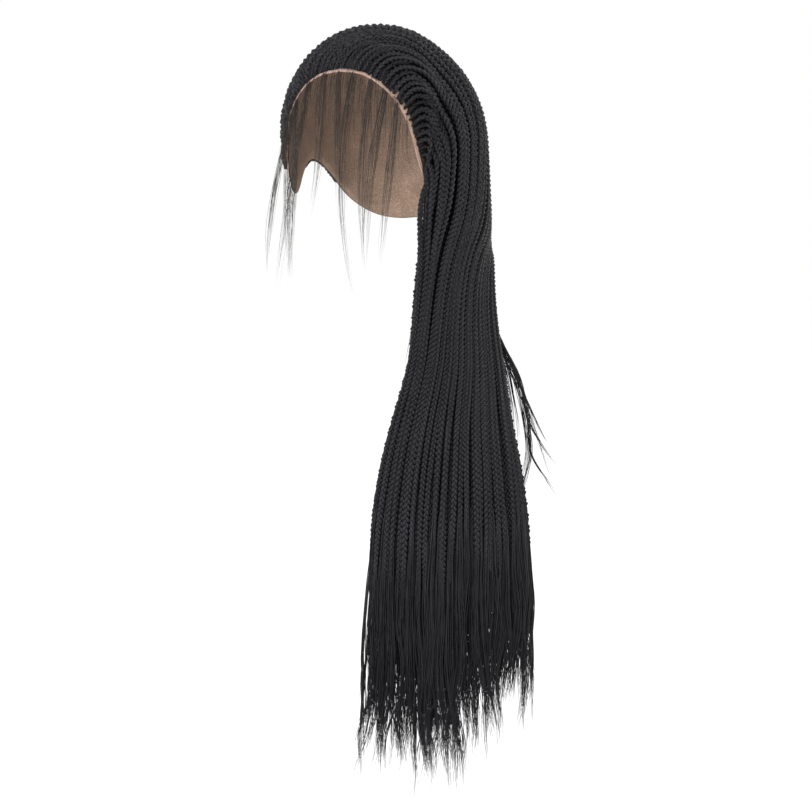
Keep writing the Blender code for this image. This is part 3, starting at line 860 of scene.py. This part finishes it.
def lace_piece():
    """Lace behind the hairline and the finer, paler strip that shows at its edge."""
    bearings = np.linspace(-60, 60, 121)
    band = [[(b, edge_at(b) - LACE_TRIM - max(edge_at(b, "lace") - LACE_TRIM, 0.3) * (1 - depth))
             for b in bearings] for depth in np.linspace(0, 1, 8)]
    made = skin_patch("lace_band", band, False, False, LACE_WALL, 0.0, lace_tan)
    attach(made, BODY)
    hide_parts("lace_front")
    edge = [[(b, edge_at(b) - LACE_TRIM + 0.02 + (LACE_TRIM - 0.02) * depth) for b in bearings]
            for depth in np.linspace(0, 1, 3)]
    made = skin_patch("lace_edge", edge, False, False, LACE_WALL, 0.1 * MM, edge_pink)
    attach(made, BODY)


def build():
    plaits, tufts = plait_tree(), tuft_tree()
    cap_piece()
    lace_piece()
    share_of = column(ENDS, END_COLUMNS, "share")
    plait_ends, tips = column(ENDS, END_COLUMNS, "plait_end"), column(ENDS, END_COLUMNS, "tip")
    layers = {depth: {n: [] for n in range(OUTER_LOCKS)} for depth, _, _ in PLAIT_DETAIL}
    ends = {n: [] for n in range(OUTER_LOCKS)}
    levels = level_order()
    braids = [((i + 0.5) / EDGE_BRAIDS, 0.0, levels[i]) for i in range(EDGE_BRAIDS)]
    share_low, share_span = CAP_SHARES
    braids += [(share_low + share_span * (j + 0.5) / CAP_BRAIDS, dice.uniform(*CAP_STATIONS), None)
               for j in range(CAP_BRAIDS)]
    clumps = gather_ends()
    for share, first, level in braids:
        stop = smooth(share, share_of, plait_ends) + dice.uniform(-END_SPREAD, END_SPREAD)
        made = braid_guide(share, first, level, stop)
        n = lock_at(share)
        layers[level or 0][n].append(made)
        ends[n].append(loose_end(share, level, stop, smooth(share, share_of, tips), clumps))
    for n in range(OUTER_LOCKS):
        parts = [grow("braids_%02d_%d" % (n + 1, level), layers[level][n], plaits, plait_black,
                      Step=step, Sides=sides)
                 for level, step, sides in PLAIT_DETAIL if layers[level][n]]
        parts.append(grow("tail_%02d" % (n + 1), ends[n], tufts, loose_black,
                          Hairs=26, Stops=12, Thickness=0.85 * MM, Wave=4.8 * MM, Curl=24.0,
                          Uneven=0.32, Seed=n + 1))
        piece = join("braids_%02d" % (n + 1), parts)
        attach(piece, BODY)
        nodes = ["lock_outer_%02d" % (n + 1)]
        nodes += [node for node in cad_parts
                  if node.startswith(("lock_middle", "lock_inner")) and lock_home(node) == n]
        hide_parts(*nodes)
    root_hair(tufts)
    back_hair(tufts)
    stray_hair(tufts)
    short_hair(tufts)


def lock_at(share):
    """Which of the outer locks lies at this share, counted from 0."""
    return min(int(share * OUTER_LOCKS), OUTER_LOCKS - 1)


def lock_home(node):
    """Which of the outer locks lies over this hidden lock."""
    layer, number = node.split("_")[1:]
    low, high, count = HIDDEN_LOCKS[layer]
    return lock_at(low + (high - low) * (int(number) - 0.5) / count)


def gather_ends():
    """Where the pointed locks at the bottom end: share, change of length, and lean."""
    made = []
    for k in range(CLUMPS):
        centre = (k + dice.uniform(0.05, 0.95)) / CLUMPS
        spread = -20 * MM * (1 - ease(centre, 0.0, 0.30))
        made.append((centre, dice.uniform(-18, 16), spread + dice.normal(0, 10.0) * MM))
    return made


def loose_end(share, level, plait_end, tip, clumps):
    """Guide of the loose hair under one braid, drawn into a pointed lock near it."""
    depth = {2: 3.0, 1: 2.0, 0: 1.0, None: 0.0}[level]
    lift = HANG_HEIGHT - BRAID_WIDTH / 2 - (3 - depth) * BRAID_STACK * piled(share)
    centre, longer, lean = min(clumps, key=lambda c: abs(c[0] + dice.normal(0, 0.025) - share))
    tip = tip + 0.8 * longer + dice.uniform(-14, 18)
    pull = dice.uniform(0.3, 0.9) * (centre - share)
    swing = 0.8 * lean + dice.normal(0, 4.0) * MM
    sink = (1.5 - depth) * BRAID_STACK * dice.uniform(0.1, 0.6) * inside(share)
    wander = Wander(4.0 * MM)
    points, outs = [], []
    along = np.linspace(0, 1, TAIL_STOPS)
    for t in along:
        z = (plait_end + LOOSEN_LENGTH / MM) * (1 - t) + tip * t
        s = min(max(share + pull * t**2.2, 0.026 * ease(t, 0.15, 0.45)), 1.0)
        here = hang_point(s, z, lift + sink * t**1.5)
        out = unit(hang_point(s, z, lift + MM + sink * t**1.5) - here)
        across = across_hang(s, z, lift)
        aside = swing * ease(t, 0.45, 1.15)**1.5 + wander.at(t) * ease(t, 0.1, 0.6)
        points.append(here + across * aside)
        outs.append(out)
    width = (1.2 + 2.0 * np.sin(np.pi * along)**0.8 - 0.5 * along**2) * MM
    return guide(np.array(points), np.array(outs), width)


def root_hair(tufts):
    """Short dark hair that is knotted into the lace and drawn back into the braids."""
    made = []
    count = EDGE_BRAIDS * ROOTS_PER_BRAID
    for i in range(count):
        share = (i + 0.5) / count
        if abs(np.interp(smooth(share, SHARES, ROOTS), EDGE_LENGTH, BEARINGS)) > LACE_END:
            continue
        temple = 1 - ease(share, 0.08, 0.26)
        if dice.uniform(0, 1) < TEMPLE_GAPS * temple:
            continue
        stops = [("head", t) for t in np.linspace(0, ROOT_END, len(ROOT_LIFTS))]
        points = np.array([place(share, stop, lift) for stop, lift in zip(stops, ROOT_LIFTS)])
        raised = np.array([place(share, stop, lift + MM) for stop, lift in zip(stops, ROOT_LIFTS)])
        width = (2.4 - 0.9 * temple) * dice.uniform(0.8, 1.2) * ROOT_TAPER * MM
        made.append(guide(points, unit(raised - points), width))
    piece = grow("root_hair", made, tufts, loose_black, Hairs=10, Stops=5, Thickness=0.8 * MM,
                 Wave=1.0 * MM, Curl=40.0, Uneven=0.3, Seed=21)
    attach(piece, BODY)


def drawn_through(path, count):
    """Even points along a smooth line through the given places."""
    knots = np.array(path, float) * MM
    length = run_length(knots)
    return np.array([smooth(x, length, knots) for x in np.linspace(0, length[-1], count)])


def back_hair(tufts):
    t = np.linspace(0, 1, STRAND_STOPS)
    for name, path in BACK_STRANDS.items():
        way = drawn_through(path, STRAND_STOPS)
        hairs, wide = BACK_HAIRS[name]
        width = (wide * np.sin(np.pi * np.clip(t * 0.9 + 0.1, 0, 1))**0.5 + 0.4) * MM
        line = guide(way, unit(way * FLAT), width)
        piece = grow(name + "_hair", [line], tufts, loose_black, Hairs=hairs, Stops=48,
                     Thickness=0.8 * MM, Wave=3.0 * MM, Curl=30.0, Uneven=0.2, Seed=5)
        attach(piece, BODY)
        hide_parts(name)
    flicks = []
    for path in BACK_FLICKS:
        way = drawn_through(path, FLICK_STOPS)
        flicks.append(guide(way, unit(way * FLAT), 0.8 * MM))
    piece = grow("back_flicks", flicks, tufts, loose_black, Hairs=7, Stops=18,
                 Thickness=0.7 * MM, Wave=2.0 * MM, Curl=30.0, Uneven=0.5, Seed=6)
    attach(piece, BODY)


def stray_hair(tufts):
    made = []
    along = np.linspace(0, 1, STRAY_STOPS)
    for share, top, long, off, lift in STRAYS:
        points, outs = [], []
        for t in along:
            z = top - long * t
            here = hang_point(share, z, lift * MM)
            across = across_hang(share, z, 0)
            points.append(here + across * off * MM * math.sin(math.pi * min(t * 0.75, 1.0)))
            outs.append(unit(hang_point(share, z, MM) - hang_point(share, z, 0)))
        made.append(guide(np.array(points), np.array(outs), (0.5 + 0.9 * along) * MM))
    piece = grow("stray_hair", made, tufts, loose_black, Hairs=6, Stops=14, Thickness=0.75 * MM,
                 Wave=3.0 * MM, Curl=25.0, Uneven=0.4, Seed=31)
    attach(piece, BODY)


def wisp_guide(bearing, drop, side_mid, side_end, ahead, width):
    dip = edge_at(bearing)
    root = on_head(direction(bearing, dip - 0.2), -0.9 * MM)
    lip = on_head(direction(bearing, dip + 0.9), 0.0)
    outward = unit(np.array([lip[0] * 0.6, lip[1], 0]))
    turn = math.radians(CAMERA_TURN)
    sideways = np.array([math.cos(turn), math.sin(turn), 0])
    points = [root, lip]
    for t in np.linspace(0, 1, WISP_STOPS)[1:]:
        swing = side_mid * 4 * t * (1 - t) + side_end * t * t
        here = lip + np.array([0, 0, -drop * t * MM]) + sideways * swing * MM
        points.append(here + outward * ahead * MM * (1 - (1 - t)**2))
    points = np.array(points)
    t = np.linspace(0, 1, len(points))
    size = width * MM * (0.5 + 0.35 * np.sin(np.pi * t) - 0.30 * t**3)
    return guide(points, np.tile(outward, (len(points), 1)), size)


def short_hair(tufts):
    long_wisps = [wisp_guide(*row) for row in WISPS]
    brow = []
    for bearing in np.arange(-49, 50, 2.4):
        b = bearing + dice.uniform(-1.1, 1.1)
        brow.append(wisp_guide(b, dice.uniform(38, 75), dice.uniform(-2, 2),
                               dice.uniform(-5, 5), dice.uniform(5, 9), 5.0))
    wisps = grow("wisp_hair", long_wisps, tufts, short_soft, Hairs=22, Stops=16,
                 Thickness=0.32 * MM, Wave=3.4 * MM, Curl=18.0, Uneven=0.45, Seed=8)
    brow_hair = grow("brow_hair", brow, tufts, short_soft, Hairs=6, Stops=8,
                     Thickness=0.26 * MM, Wave=3.0 * MM, Curl=18.0, Uneven=0.6, Seed=9)
    piece = join("short_hair", [wisps, brow_hair])
    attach(piece, BODY)
    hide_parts("baby_hair")


def studio():
    scene = bpy.context.scene
    turn, rise = math.radians(CAMERA_TURN), math.radians(CAMERA_RISE)
    right = Vector((math.cos(turn), math.sin(turn), 0))
    flat = math.cos(rise)
    back = Vector((math.sin(turn) * flat, -math.cos(turn) * flat, math.sin(rise)))
    up = back.cross(right)
    camera = link(bpy.data.objects.new("camera", bpy.data.cameras.new("camera")))
    camera.data.lens, camera.data.sensor_width = CAMERA_LENS, CAMERA_SENSOR
    camera.data.clip_start = 0.05
    camera.matrix_world = Matrix((
        (right.x, up.x, back.x, CAMERA_AIM[0] + back.x * CAMERA_DISTANCE),
        (right.y, up.y, back.y, CAMERA_AIM[1] + back.y * CAMERA_DISTANCE),
        (right.z, up.z, back.z, CAMERA_AIM[2] + back.z * CAMERA_DISTANCE),
        (0, 0, 0, 1)))
    scene.camera = camera
    world = bpy.data.worlds.new("pale_room")
    world.use_nodes = True
    world.node_tree.nodes["Background"].inputs[0].default_value = (1, 1, 1, 1)
    world.node_tree.nodes["Background"].inputs[1].default_value = 1.0
    scene.view_settings.view_transform = "Standard"
    scene.world = world
    floor_mesh = bpy.data.meshes.new("floor")
    reach, low = FLOOR_REACH, FLOOR_HEIGHT
    floor_mesh.from_pydata([(-reach, -reach, low), (reach, -reach, low), (reach, reach, low),
                            (-reach, reach, low)], [], [(0, 1, 2, 3)])
    floor = link(bpy.data.objects.new("floor", floor_mesh))
    paint, shader = finish_tree("floor_white")
    shader.inputs["Base Color"].default_value = (1.0, 1.0, 1.0, 1)
    shader.inputs["Roughness"].default_value = 1.0
    shader.inputs["Specular IOR Level"].default_value = 0.0
    floor_mesh.materials.append(paint)
    for name, place_at, size, power in LAMPS:
        lamp = bpy.data.lights.new(name, "AREA")
        lamp.size, lamp.energy = size, power
        holder = link(bpy.data.objects.new(name, lamp))
        holder.location = place_at
        aim = Vector(LAMP_AIM) - Vector(place_at)
        holder.rotation_mode = "QUATERNION"
        holder.rotation_quaternion = aim.to_track_quat("-Z", "Y")


build()
studio()
